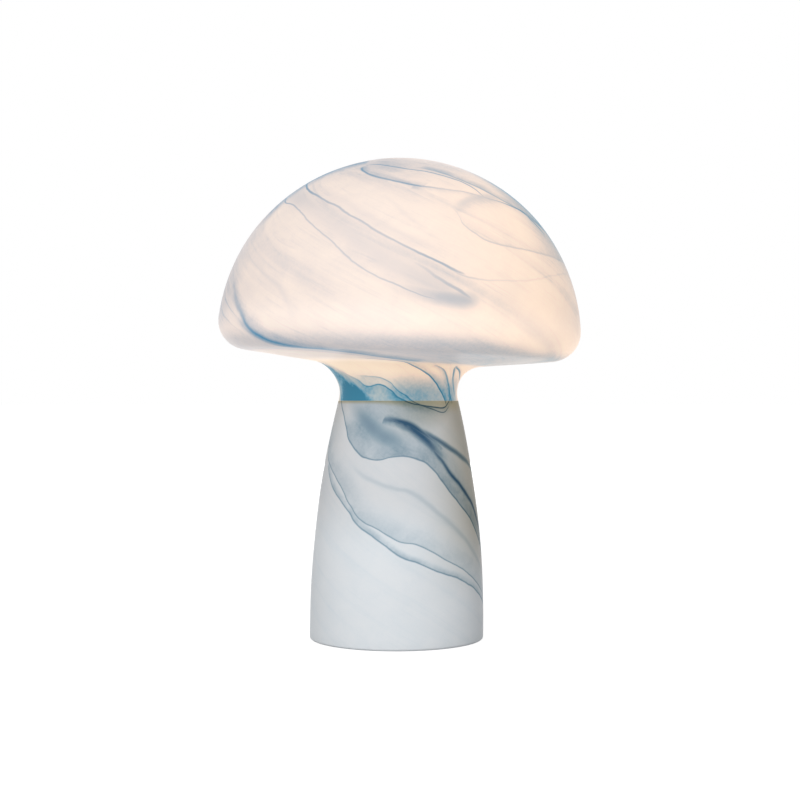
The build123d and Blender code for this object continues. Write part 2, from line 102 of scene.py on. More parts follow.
# ================= shader nodes =================
class Graph:
    """Short names for the nodes of one material or group."""

    def __init__(self, tree):
        self.tree = tree

    def node(self, kind, **settings):
        node = self.tree.nodes.new("ShaderNode" + kind)
        for key, value in settings.items():
            setattr(node, key, value)
        return node

    def put(self, socket, value):
        if isinstance(value, bpy.types.NodeSocket):
            self.tree.links.new(value, socket)
        else:
            socket.default_value = value

    def math(self, operation, *values):
        node = self.node("Math", operation=operation)
        for socket, value in zip(node.inputs, values):
            self.put(socket, value)
        return node.outputs[0]

    def ramp(self, value, low, high, start=0.0, end=1.0):
        """Smooth step from start to end as value goes from low to high."""
        node = self.node("MapRange", interpolation_type="SMOOTHSTEP", clamp=False)
        for socket, given in zip(node.inputs, (value, low, high, start, end)):
            self.put(socket, given)
        return node.outputs[0]

    def product(self, *values):
        total = values[0]
        for value in values[1:]:
            total = self.math("MULTIPLY", total, value)
        return total

    def mix(self, factor, first, second, blend="MIX"):
        node = self.node("Mix", data_type="RGBA", blend_type=blend)
        self.put(node.inputs[0], factor)
        self.put(node.inputs[6], first)
        self.put(node.inputs[7], second)
        return node.outputs[2]

    def vector(self, operation, *values):
        node = self.node("VectorMath", operation=operation)
        for socket, value in zip(node.inputs, values):
            self.put(socket, value)
        return node.outputs["Value" if operation == "DOT_PRODUCT" else "Vector"]

    def joined(self, x, y, z):
        node = self.node("CombineXYZ")
        for socket, value in zip(node.inputs, (x, y, z)):
            self.put(socket, value)
        return node.outputs[0]

    def split(self, vector):
        node = self.node("SeparateXYZ")
        self.put(node.inputs[0], vector)
        return node.outputs

    def noise(self, vector, scale, detail=2.0, roughness=0.5, distortion=0.0, colour=False):
        node = self.node("TexNoise")
        self.put(node.inputs["Vector"], vector)
        for name, value in (("Scale", scale), ("Detail", detail), ("Roughness", roughness)):
            node.inputs[name].default_value = value
        node.inputs["Distortion"].default_value = distortion
        return node.outputs["Color" if colour else "Fac"]

    def curve(self, value, points):
        """Smooth curve through points whose coordinates run from 0 to 1."""
        node = self.node("FloatCurve")
        self.put(node.inputs["Value"], value)
        mapping = node.mapping
        mapping.extend = "HORIZONTAL"
        line = mapping.curves[0]
        points = sorted(points)
        while len(line.points) < len(points):
            line.points.new(0.5, 0.5)
        for point, (x, y) in zip(line.points, points):
            point.location = (x, y)
            point.handle_type = "AUTO_CLAMPED"
        mapping.update()
        return node.outputs[0]

    def colours(self, value, stops):
        """Colour ramp from (position, colour) stops."""
        node = self.node("ValToRGB")
        self.put(node.inputs[0], value)
        line = node.color_ramp
        while len(line.elements) < len(stops):
            line.elements.new(0.5)
        for element, (position, colour) in zip(line.elements, stops):
            element.position = position
            element.color = colour
        return node.outputs[0]

    def bump(self, height, distance, strength=1.0, under=None):
        node = self.node("Bump")
        if under:
            self.put(node.inputs["Normal"], under)
        node.inputs["Strength"].default_value = strength
        node.inputs["Distance"].default_value = distance
        self.put(node.inputs["Height"], height)
        return node.outputs[0]


def material(name):
    """An empty node material: (its Graph, its Principled shader)."""
    made = bpy.data.materials.new(name)
    made.use_nodes = True
    graph = Graph(made.node_tree)
    return made, graph, made.node_tree.nodes["Principled BSDF"]


# ================= marbling =================
# Each streak: path, millimetres per degree where it runs, width, ink along the path, and a veil
# beside the line as (side, reach, strength): side +1 is below the line, -1 above it.
CAP_SCALE = 1.6
CROWN_SCALE = 1.0
NECK_SCALE = 0.65
STEM_SCALE = 0.78
STREAKS = [
    # cap, upper left: the dark line and its partner, with the greyish band between them
    ([(-95, 50), (-80, 58), (-64, 70), (-48, 81), (-31, 93), (-16, 107), (-1, 122), (9, 131),
      (20, 140)],
     CAP_SCALE, 1.4, [(0, 0), (0.1, 0.7), (0.3, 0.7), (0.5, 0.42), (0.8, 0.32), (0.93, 0.5),
         (1, 0)], (1, 26, 0.1)),
    ([(-92, 66), (-78, 76), (-66, 86), (-47, 96), (-38, 105), (-26, 119), (-18, 130), (-8, 142),
      (1, 149), (14, 156)],
     CAP_SCALE, 1.1, [(0, 0), (0.1, 0.7), (0.3, 0.5), (0.5, 0.3), (0.8, 0.28), (0.94, 0.35),
         (1, 0)], (-1, 26, 0.1)),
    ([(-84, 66), (-66, 78), (-48, 89), (-34, 99), (-22, 112), (-10, 126), (1, 138), (10, 146),
      (20, 154)],
     CAP_SCALE, 16.0, [(0, 0), (0.2, 0.22), (0.5, 0.15), (0.75, 0.16), (0.92, 0.2), (1, 0)], (1, 5, 0.02)),
    ([(-6, 146), (4, 150), (12, 153), (18, 154), (26, 152)],
     CAP_SCALE, 9.0, [(0, 0), (0.4, 0.24), (0.7, 0.36), (1, 0)], (1, 5, 0.02)),
    ([(-50, 74), (-34, 85), (-20, 97), (-6, 111), (8, 123), (20, 133)],
     CAP_SCALE, 5.0, [(0, 0), (0.3, 0.1), (0.8, 0.12), (1, 0)], (1, 4, 0.05)),
    ([(-84, 140), (-76, 110), (-73, 86), (-70, 73), (-66, 60), (-58, 49), (-49, 40), (-40, 32)],
     CAP_SCALE, 8.0, [(0, 0), (0.3, 0.1), (0.5, 0.4), (0.85, 0.45), (1, 0)], (1, 28, 0.52)),
    ([(-2, 128), (5, 135), (10, 141), (16, 147), (20, 152), (23, 155)],
     CAP_SCALE, 2.2, [(0, 0), (0.4, 0.26), (0.8, 0.4), (1, 0)], (1, 7, 0.14)),
    ([(14, 135), (22, 141), (31, 141), (43, 139), (63, 132), (88, 128)],
     CAP_SCALE, 1.2, [(0, 0), (0.05, 0.24), (0.2, 0.16), (0.8, 0.12), (1, 0)], (-1, 6, 0.05)),
    ([(-13, 86), (-7, 90), (2, 104), (10, 117), (16, 128)],
     CAP_SCALE, 3.0, [(0, 0), (0.4, 0.1), (1, 0)], (1, 8, 0.06)),
    # crown loop and the wedge beside it
    ([(-32, 49), (-24, 47), (-2, 54), (16, 59), (30, 67), (38, 84)],
     CROWN_SCALE, 1.2, [(0, 0), (0.1, 0.6), (0.9, 0.55), (1, 0)], (-1, 6, 0.14)),
    ([(-32, 51), (-28, 57), (-19, 65), (-3, 73), (8, 77)],
     CROWN_SCALE, 1.6, [(0, 0), (0.1, 0.65), (0.7, 0.55), (0.93, 0.6), (1, 0)], (-1, 10, 0.22)),
    ([(3, 76), (20, 78), (30, 79), (39, 82), (48, 84), (59, 88), (63, 94), (68, 105)],
     CROWN_SCALE, 1.5, [(0, 0), (0.05, 0.4), (0.2, 0.26), (0.55, 0.35), (0.85, 0.85), (1, 0)], (1, 9, 0.2)),
    ([(4, 50), (26, 61), (37, 70), (48, 80), (63, 92), (74, 104)],
     CROWN_SCALE, 1.8, [(0, 0), (0.2, 0.4), (0.4, 0.45), (0.8, 0.5), (1, 0)], (-1, 14, 0.3)),
    # hook on the right, and the haze along the edge beside it
    ([(18, 100), (20, 96), (23, 91), (31, 84), (41, 80), (53, 79), (64, 80)],
     CAP_SCALE, 7.0, [(0, 0), (0.15, 0.2), (0.5, 0.23), (0.8, 0.22), (1, 0)], (1, 18, 0.22)),
    ([(18, 94), (20, 98), (21, 106), (25, 112), (30, 117), (38, 119), (48, 120), (60, 121), (73, 122),
      (92, 124)],
     CAP_SCALE, 1.3, [(0, 0), (0.04, 0.2), (0.2, 0.26), (0.8, 0.26), (1, 0)], (-1, 13, 0.16)),
    ([(56, 54), (65, 66), (73, 78), (77, 92), (79, 108), (80, 122), (81, 136), (82, 162)],
     CAP_SCALE, 14.0, [(0, 0), (0.15, 0.3), (0.4, 0.42), (0.7, 0.24), (1, 0)], (-1, 20, 0.36)),
    # left side of the cap
    ([(-90, 112), (-71, 125), (-52, 136), (-42, 146), (-34, 160), (-30, 174)],
     CAP_SCALE, 5.0, [(0, 0), (0.3, 0.13), (0.8, 0.14), (1, 0)], (1, 12, 0.1)),
    ([(-75, 124), (-62, 133), (-38, 154), (-25, 170), (-18, 178)],
     CAP_SCALE, 4.0, [(0, 0), (0.4, 0.1), (1, 0)], (1, 10, 0.07)),
    ([(-90, 122), (-76, 134), (-68, 144), (-60, 157), (-55, 164), (-52, 171), (-49, 176), (-45, 181),
      (-36, 188), (-22, 196)],
     CAP_SCALE, 3.6, [(0, 0), (0.3, 0.16), (0.5, 0.4), (0.7, 0.66), (0.85, 0.55), (1, 0)], (-1, 11, 0.3)),
    ([(-72, 148), (-60, 165), (-52, 176), (-44, 186), (-36, 192), (-27, 197), (-18, 206), (-8, 218),
      (6, 228), (20, 234)],
     CAP_SCALE, 3.2, [(0, 0), (0.15, 0.1), (0.3, 0.36), (0.5, 0.5), (0.8, 0.38), (1, 0)], (-1, 20, 0.4)),
    ([(-88, 138), (-72, 153), (-56, 168), (-50, 178)],
     CAP_SCALE, 1.0, [(0, 0), (0.3, 0.38), (1, 0)], (-1, 5, 0.12)),
    ([(-88, 148), (-73, 161), (-60, 172), (-54, 178)],
     CAP_SCALE, 1.0, [(0, 0), (0.3, 0.32), (1, 0)], (-1, 5, 0.1)),
    # neck, above the edge of the light
    ([(-56, 247), (-39, 252), (-30, 256), (-17, 255), (-8, 258), (2, 263), (18, 267), (41, 269),
      (54, 266), (61, 261)],
     NECK_SCALE, 0.8, [(0, 0), (0.1, 0.4), (0.3, 0.75), (0.7, 0.9), (0.95, 0.95), (1, 0)], (1, 9, 0.3)),
    ([(-42, 249), (-25, 250), (-15, 251), (-9, 253), (-3, 257), (6, 261), (20, 267), (38, 271),
      (55, 268)],
     NECK_SCALE, 0.7, [(0, 0), (0.3, 0.6), (0.7, 0.75), (0.95, 0.8), (1, 0)], (1, 5, 0.2)),
    ([(-26, 222), (-12, 228), (5, 235), (13, 241), (25, 247), (34, 252), (42, 257), (48, 262),
      (51, 268)],
     NECK_SCALE, 0.9, [(0, 0), (0.2, 0.6), (0.6, 0.85), (0.9, 1.0), (1, 0)], (-1, 7, 0.3)),
    ([(24, 236), (34, 241), (47, 248), (56, 255), (60, 261), (62, 267)],
     NECK_SCALE, 1.1, [(0, 0), (0.3, 0.55), (0.85, 0.7), (1, 0)], (1, 5, 0.3)),
    ([(46, 238), (52, 244), (61, 252), (68, 258), (72, 264)],
     NECK_SCALE, 1.2, [(0, 0), (0.3, 0.75), (0.7, 0.6), (1, 0)], (-1, 3, 0.3)),
    ([(44, 237), (52, 241), (67, 247), (86, 254)],
     NECK_SCALE, 1.1, [(0, 0), (0.3, 0.75), (0.8, 0.5), (1, 0)], (-1, 3, 0.3)),
    # stem
    ([(-14, 275), (-9, 275), (-3, 276), (10, 279), (23, 285), (34, 290), (42, 294)],
     STEM_SCALE, 3.4, [(0, 0), (0.12, 0.6), (0.4, 0.85), (0.7, 0.68), (1, 0)], (1, 7, 0.55)),
    ([(16, 281), (23, 284), (36, 289), (48, 294), (61, 299), (72, 303), (92, 312)],
     STEM_SCALE, 3.3, [(0, 0), (0.2, 0.78), (0.5, 0.75), (0.85, 0.55), (1, 0)], (1, 5, 0.25)),
    ([(-4, 277), (4, 280), (14, 283), (24, 289), (31, 294), (42, 302)],
     STEM_SCALE, 5.6, [(0, 0), (0.2, 0.6), (0.55, 0.84), (0.8, 0.55), (1, 0)], (1, 4, 0.1)),
    ([(-7, 279), (10, 284), (26, 291), (34, 299), (48, 312), (65, 325), (77, 338), (92, 354)],
     STEM_SCALE, 2.8, [(0, 0), (0.15, 0.3), (0.4, 0.8), (0.8, 0.95), (1, 0)], (1, 9, 0.3)),
    ([(-60, 257), (-48, 265), (-40, 270), (-27, 278), (-16, 284), (-6, 288), (2, 291), (12, 295)],
     STEM_SCALE, 13.0, [(0, 0), (0.2, 0.26), (0.45, 0.5), (0.7, 0.56), (1, 0)], (1, 6, 0.1)),
    ([(-86, 250), (-69, 266), (-61, 271), (-51, 280), (-43, 289), (-33, 296), (-24, 299), (-17, 300),
      (-4, 298), (6, 298), (16, 300), (24, 303), (34, 312), (44, 322), (62, 336), (76, 350), (90, 366)],
     STEM_SCALE, 1.0, [(0, 0), (0.1, 0.6), (0.5, 0.6), (0.85, 0.8), (1, 0)], (-1, 30, 0.44)),
    ([(-50, 296), (-33, 306), (-16, 313), (-1, 317), (14, 321), (29, 331), (48, 344), (62, 355),
      (85, 374)],
     STEM_SCALE, 3.4, [(0, 0), (0.2, 0.2), (0.8, 0.24), (1, 0)], (-1, 8, 0.1)),
    ([(-92, 284), (-80, 292), (-69, 302), (-55, 310), (-36, 326), (-26, 335), (-14, 340), (1, 347),
      (16, 350), (30, 357), (50, 366), (70, 377), (90, 389)],
     STEM_SCALE, 0.8, [(0, 0), (0.1, 0.5), (0.85, 0.55), (1, 0)], (-1, 20, 0.27)),
    ([(-72, 302), (-54, 318), (-38, 329), (-28, 338), (-14, 346), (0, 355), (14, 360), (30, 366),
      (49, 372), (74, 384), (92, 395)],
     STEM_SCALE, 0.9, [(0, 0), (0.1, 0.5), (0.85, 0.6), (1, 0)], (-1, 6, 0.36)),
]


# the deep blue edge in the waist, which shows only where light comes through it
WAIST_EDGE = ([(-90, 234), (-78, 239), (-68, 244), (-60, 248), (-54, 252), (-48, 256), (-42, 260),
               (-36, 263), (-28, 267), (-14, 274)],
              NECK_SCALE, 7.0, [(0, 0), (0.25, 0.4), (0.7, 0.6), (0.9, 0.5), (1, 0)], (1, 34, 0.88))


def streak(g, where, path, per_degree, width, ink, veil):
    """(line, veil) of one streak. where is (azimuth, run, 1), path the points it passes."""
    xs = [azimuth * per_degree for azimuth, _ in path]
    ys = [run for _, run in path]
    length = hypot(xs[-1] - xs[0], ys[-1] - ys[0])
    ux, uy = (xs[-1] - xs[0]) / length, (ys[-1] - ys[0]) / length
    along = [((x - xs[0]) * ux + (y - ys[0]) * uy) / length for x, y in zip(xs, ys)]
    across = [(y - ys[0]) * ux - (x - xs[0]) * uy for x, y in zip(xs, ys)]
    reach = max(abs(c) for c in across) + 1
    start = -(xs[0] * ux + ys[0] * uy) / length
    side = xs[0] * uy - ys[0] * ux + reach
    position = g.vector("DOT_PRODUCT", where, (per_degree * ux / length, uy / length, start))
    beside = g.vector("DOT_PRODUCT", where, (-per_degree * uy, ux, side))
    line = g.curve(position, [(a, 0.5 + c / (2 * reach)) for a, c in zip(along, across)])
    off = g.math("MULTIPLY_ADD", line, -2 * reach, beside)
    strength = g.curve(position, ink)
    drawn = g.product(g.ramp(g.math("ABSOLUTE", off), 0.0, width, 1.0, 0.0), strength)
    turn, far, dark = veil
    inside = g.ramp(off, -turn * width / 2, turn * width / 2)
    fading = g.ramp(off, 0.0, turn * far, dark, 0.0)
    spread = g.ramp(strength, 0.0, 0.3)
    return drawn, g.product(inside, fading, spread)


def marbling_group():
    """Group that takes (azimuth, run, 1) and gives the drawn lines and the veils beside them."""
    tree = bpy.data.node_groups.new("marbling", "ShaderNodeTree")
    tree.interface.new_socket("Where", in_out="INPUT", socket_type="NodeSocketVector")
    tree.interface.new_socket("Line", in_out="OUTPUT", socket_type="NodeSocketFloat")
    tree.interface.new_socket("Veil", in_out="OUTPUT", socket_type="NodeSocketFloat")
    g = Graph(tree)
    where = tree.nodes.new("NodeGroupInput").outputs[0]
    lines, veils = 0.0, 0.0
    for spec in STREAKS:
        line, veil = streak(g, where, *spec)
        lines = g.math("MAXIMUM", lines, line)
        veils = g.math("SMOOTH_MAX", veils, veil, 0.12)
    out = tree.nodes.new("NodeGroupOutput")
    g.put(out.inputs[0], lines)
    g.put(out.inputs[1], veils)
    return tree


# colours by amount of pigment, over glass that is lit and over glass that isn't
LIT_TINT = [
    (0.0, (1, 1, 1, 1)),
    (0.15, (0.84, 0.86, 0.915, 1)),
    (0.35, (0.575, 0.66, 0.79, 1)),
    (0.6, (0.32, 0.485, 0.68, 1)),
    (0.85, (0.105, 0.33, 0.6, 1)),
    (1.0, (0.04, 0.21, 0.43, 1)),
]
UNLIT_TINT = [
    (0.0, (1, 1, 1, 1)),
    (0.15, (0.87, 0.915, 0.945, 1)),
    (0.35, (0.63, 0.72, 0.78, 1)),
    (0.6, (0.34, 0.47, 0.56, 1)),
    (1.0, (0.06, 0.15, 0.27, 1)),
]
GLOW = (rgb(254, 237, 223), rgb(253, 223, 195))  # lit cap, pale to warm
WAIST_GLOW = (rgb(255, 230, 202), rgb(248, 218, 190))  # lit waist, left to right
MILK = (rgb(230, 232, 234), rgb(217, 217, 218))  # unlit stem, foot to waist
# painted shade of the stem, at its right side and at its upper left
PAINTED_SHADE_RIGHT = rgb(190, 184, 171)
PAINTED_SHADE_LEFT = rgb(204, 206, 207)
PAINTED_SHADOW_AND_LEAK = rgb(186, 176, 148)  # painted shadow under the disc, warmed by painted light that leaks past it
LIT_BASE = (0.6, 0.6, 0.6, 1)  # share of the lit glass's colour that the studio's light shows
BACK_STARTS = 96.0  # azimuth past which the back's marbling is used
BACK_DRIFT = 60.0
GLASS_IOR = 1.2


class Place:
    """Where a point of the glass is: its coordinates, azimuth, run, and 1 in lit if light reaches it."""

    def __init__(self, g):
        self.point = g.node("TexCoord").outputs["Object"]
        self.x, _, self.z = g.split(self.point)
        u, v, _ = g.split(g.node("UVMap", uv_map="surface").outputs[0])
        self.azimuth = g.math("MULTIPLY_ADD", u, 360.0, -180.0)
        self.sideways = g.math("SINE", g.math("RADIANS", self.azimuth))  # -1 at the left, 1 at the right
        self.run = g.math("MULTIPLY", v, GLASS_RUN)
        self.lit = g.ramp(self.z, (LIGHT_EDGE - 0.15) * MM, (LIGHT_EDGE + 0.15) * MM)


def drawn_marbling(g, at):
    """(line, veil) of the streaks. The back repeats them, carried away by a slow drift."""
    away = g.math("ABSOLUTE", at.azimuth)
    back = g.math("GREATER_THAN", away, BACK_STARTS)
    local = g.math("WRAP", g.math("MULTIPLY_ADD", back, 180.0, at.azimuth), 180.0, -180.0)
    wobble = g.vector("SUBTRACT", g.noise(at.point, 80.0, 2.0, 0.5, colour=True), (0.5, 0.5, 0.5))
    drift = g.vector("SUBTRACT", g.noise(at.point, 14.0, 1.0, colour=True), (0.5, 0.5, 0.5))
    swing = g.math("MULTIPLY", back, BACK_DRIFT)
    drift = g.vector("MULTIPLY", drift, g.joined(swing, swing, 0.0))
    where = g.vector("ADD", g.joined(local, at.run, 1.0), g.vector("MULTIPLY", wobble, (2.4, 1.6, 0.0)))
    node = g.node("Group", node_tree=marbling_group())
    g.put(node.inputs[0], g.vector("ADD", where, drift))
    # both fade out at the sides and at the crown
    fade = g.ramp(g.math("MULTIPLY_ADD", back, 12.0, g.math("ABSOLUTE", local)), 82.0, 95.0, 1.0, 0.0)
    fade = g.product(fade, g.ramp(at.run, 12.0, 40.0))
    line, veil = (g.math("MULTIPLY", output, fade) for output in node.outputs[:2])
    deep = g.math("MAXIMUM", *streak(g, where, *WAIST_EDGE))
    deep = g.product(deep, at.lit, g.ramp(away, 95.0, 80.0))
    return line, g.math("MAXIMUM", veil, deep)


def winding_noises(g, at):
    """Coarse to fine noises that wind round the body, as the glass was turned while hot."""
    past_waist = g.math("MAXIMUM", g.math("SUBTRACT", at.run, 250.0), 0.0)
    twist = g.math("MULTIPLY_ADD", past_waist, 0.7, g.math("MULTIPLY", at.run, 1.1))
    turned = g.math("RADIANS", g.math("SUBTRACT", at.azimuth, twist))
    wide = g.ramp(at.run, 0.0, 75.0)
    winding = g.joined(
        g.product(g.math("SINE", turned), wide),
        g.product(g.math("COSINE", turned), wide),
        g.math("MULTIPLY", at.run, 0.0028),
    )
    broad = g.noise(winding, 2.6, 3.0, 0.55, 0.6)
    fine = g.noise(winding, 9.0, 4.0, 0.6, 1.2)
    hair = g.noise(winding, 34.0, 2.0, 0.6, 0.4)
    return broad, fine, hair


def soft_haze(g, at, cloud, broad, fine, hair):
    """Pigment without a drawn edge, from 0 to 1; at the cap's far edges, crown and underside it also paints
    shade.
    """
    # winding streaks, with a clear window at the left of the cap
    clear = g.product(
        g.ramp(at.azimuth, -38.0, -54.0),
        g.ramp(at.run, 88.0, 104.0),
        g.ramp(at.run, 152.0, 138.0, 0.0, 0.7),
    )
    haze = g.product(g.ramp(broad, 0.5, 0.74, 0.0, 0.11), g.math("SUBTRACT", 1.0, clear))
    haze = g.math("ADD", haze, g.product(g.ramp(fine, 0.5, 0.72, 0.0, 0.07), g.ramp(cloud, 0.35, 0.6)))
    haze = g.math("ADD", haze, g.ramp(hair, 0.5, 0.75, 0.0, 0.025))
    haze = g.product(haze, g.ramp(at.run, 240.0, 300.0, 1.0, 0.45))

    # the left of the cap, its far edges and its crown; the haze at the far edges and the crown also paints
    # their shade
    upper = g.ramp(at.run, 178.0, 160.0)
    left = g.product(
        g.ramp(at.azimuth, -34.0, -60.0),
        g.ramp(at.azimuth, -120.0, -66.0),
        g.ramp(at.run, 84.0, 120.0),
        upper,
    )
    streaky = g.math("ADD", g.product(broad, 0.5), g.product(fine, 0.5))
    haze = g.math("ADD", haze, g.product(left, g.ramp(streaky, 0.34, 0.62, 0.0, 0.06)))
    # blue haze at the right and far left edges, which also paints the darker sides of the cap
    right = g.product(g.ramp(at.azimuth, 47.0, 78.0, 0.0, 0.42), g.ramp(at.run, 105.0, 140.0, 1.0, 0.28))
    far_left_haze_and_shade = g.product(g.ramp(at.azimuth, -56.0, -80.0, 0.0, 0.19), g.ramp(at.run, 100.0, 150.0, 0.5))
    edge_haze_and_shade = g.product(
        g.math("ADD", right, far_left_haze_and_shade),
        g.ramp(g.math("ABSOLUTE", at.azimuth), 130.0, 96.0),
        g.ramp(at.run, 20.0, 56.0),
        upper,
    )
    haze = g.math("ADD", haze, edge_haze_and_shade)
    # haze at the crown, which also paints its shade
    haze = g.math("ADD", haze, g.ramp(at.run, 84.0, 40.0, 0.0, 0.17))

    # the cap's underside: blue-grey pigment, stronger to the right, which also paints the shade of its
    # downward face
    begins = g.math("SUBTRACT", at.run, g.ramp(at.sideways, 0.34, 0.87, 170.0, 177.5))
    ends = g.math("SUBTRACT", at.run, g.ramp(at.sideways, -0.87, 0.17, 198.0, 235.0))
    below = g.product(g.ramp(begins, 0.0, 11.0), g.ramp(ends, 5.0, -6.0))
    haze = g.math("ADD", haze, g.product(below, g.ramp(at.sideways, -0.34, 0.64, 0.185, 0.34)))

    # the blue glass just above the disc, and the grey glass just below it
    above_disc = g.product(
        g.ramp(at.run, 244.0, 263.0, 0.0, 0.64),
        g.ramp(at.azimuth, -90.0, -60.0),
        g.ramp(at.azimuth, 92.0, 62.0),
        at.lit,
    )
    haze = g.math("ADD", haze, g.product(above_disc, g.ramp(cloud, 0.3, 0.7, 0.75, 1.15)))
    under_disc = g.product(
        g.ramp(at.z, 0.1195, 0.137, 0.0, 0.27),
        g.ramp(at.azimuth, -43.0, -27.0),
        g.ramp(at.azimuth, 50.0, 12.0),
    )
    return g.math("ADD", haze, g.product(under_disc, g.math("SUBTRACT", 1.0, at.lit)))


def pigment(g, at, line, veil, haze):
    """All pigment at a point, from 0 to 1: the veils are cloudy and speckled, the lines aren't."""
    smoke = g.product(veil, g.ramp(g.noise(at.point, 55.0, 4.0, 0.6, 0.8), 0.25, 0.7, 0.7, 1.2))
    # the pigment by the waist shows far less where no light comes through it
    dull = g.product(
        g.ramp(at.z, 0.1452, 0.1440),
        g.ramp(at.run, 284.0, 268.0),
        g.ramp(at.sideways, -0.41, -0.67, 0.0, 0.7),
    )
    smoke = g.product(smoke, g.math("SUBTRACT", 1.0, dull))
    specks = g.ramp(g.noise(at.point, 600.0, 1.0), 0.3, 0.7, 0.95, 1.05)
    smoke = g.product(g.math("ADD", smoke, haze), specks)
    amount = g.math("MAXIMUM", smoke, line)
    deeper = g.product(g.math("MINIMUM", line, smoke), 0.4)
    return g.math("MINIMUM", g.math("ADD", amount, deeper), 1.0)


def lit_glass(g, at, tint):
    """Colour of the glass that light comes through, warmer to the right and below."""
    warm = g.math("ADD", g.ramp(at.x, -0.03, 0.1, 0.0, 0.75), g.ramp(at.z, 0.172, 0.158, 0.0, 0.5))
    glow = g.mix(warm, *GLOW)
    glow = g.mix(g.ramp(at.run, 222.0, 240.0), glow, g.mix(g.ramp(at.sideways, -0.34, 0.5), *WAIST_GLOW))
    return g.mix(1.0, glow, tint, "MULTIPLY")


def unlit_glass(g, at, tint):
    """Colour of the stem: milky, with painted beige-grey shade at the right and upper left, and a painted
    tan shadow under the disc, warmed by painted light that leaks past it.
    """
    not_back = g.ramp(at.azimuth, 150.0, 100.0)
    # painted shade: the right of the stem and the right of its top are mixed towards beige-grey
    side = g.product(g.ramp(at.azimuth, 10.0, 75.0), not_back, g.ramp(at.z, 0.02, 0.078))
    shade = g.product(g.ramp(at.azimuth, -25.0, 28.0), not_back, g.ramp(at.z, 0.117, 0.139, 0.0, 0.8))
    milk = g.mix(g.ramp(at.z, 0.055, 0.095), *MILK)
    milk = g.mix(g.math("MAXIMUM", side, shade), milk, PAINTED_SHADE_RIGHT)
    # painted shade at the upper left of the stem
    painted_shade_left_top = g.product(g.ramp(at.sideways, -0.74, -0.97), g.ramp(at.z, 0.104, 0.13))
    milk = g.mix(painted_shade_left_top, milk, PAINTED_SHADE_LEFT)
    # painted shadow just under the disc, warm with painted light leaking past it
    leak_depth = g.ramp(at.sideways, -0.5, 0.87, 0.0025, 0.009)
    shadow_and_leak = g.ramp(g.math("SUBTRACT", LIGHT_EDGE * MM, at.z), 0.0, leak_depth, 1.0, 0.0)
    milk = g.mix(shadow_and_leak, milk, PAINTED_SHADOW_AND_LEAK)
    return g.mix(1.0, milk, tint, "MULTIPLY")


def marbled_glass():
    """Opal glass with blue marbling, lit from inside above the shield disc."""
    made, g, shader = material("marbled_glass")
    at = Place(g)
    line, veil = drawn_marbling(g, at)
    broad, fine, hair = winding_noises(g, at)
    cloud = g.noise(at.point, 32.0, 4.0, 0.6)
    haze = soft_haze(g, at, cloud, broad, fine, hair)
    amount = pigment(g, at, line, veil, haze)
    lit_tint, unlit_tint = g.colours(amount, LIT_TINT), g.colours(amount, UNLIT_TINT)
    lit, unlit = lit_glass(g, at, lit_tint), unlit_glass(g, at, unlit_tint)

    # painted light: above the disc the base colour is the glow's colour, below it the unlit glass's
    base_share = g.mix(at.lit, (1, 1, 1, 1), LIT_BASE)
    look = g.mix(at.lit, unlit, lit)
    g.put(shader.inputs["Base Color"], g.mix(1.0, look, base_share, "MULTIPLY"))
    # painted light: the glow is stronger to the right, at the rim and underside, and in the waist, most at
    # its left
    share = g.ramp(at.sideways, -0.5, 0.985, 0.42, 0.64)
    share = g.math("ADD", share, g.ramp(at.run, 148.0, 176.0, 0.0, 0.16))
    waist = g.product(g.ramp(at.run, 220.0, 236.0), g.ramp(at.sideways, -0.5, 0.5, 0.19, 0.06))
    share = g.math("ADD", share, waist)
    g.put(shader.inputs["Emission Color"], g.vector("MULTIPLY", lit, g.joined(share, share, share)))
    g.put(shader.inputs["Emission Strength"], at.lit)
    g.put(shader.inputs["Roughness"], g.ramp(cloud, 0.3, 0.7, 0.3, 0.38))
    shader.inputs["IOR"].default_value = GLASS_IOR
    shader.inputs["Specular IOR Level"].default_value = 0.1
    g.put(shader.inputs["Normal"], g.bump(g.noise(at.point, 60.0, 2.0), 0.0004, 0.25))
    return made


# ================= glass body =================
def arc_points(centre, radius, start, end, step):
    """Points on an arc, both ends included; angles in degrees and step in millimetres."""
    count = max(2, round(abs(radians(end - start)) * radius / step))
    angles = [radians(start + (end - start) * i / count) for i in range(count + 1)]
    return [(centre[0] + radius * cos(a), centre[1] + radius * sin(a)) for a in angles]


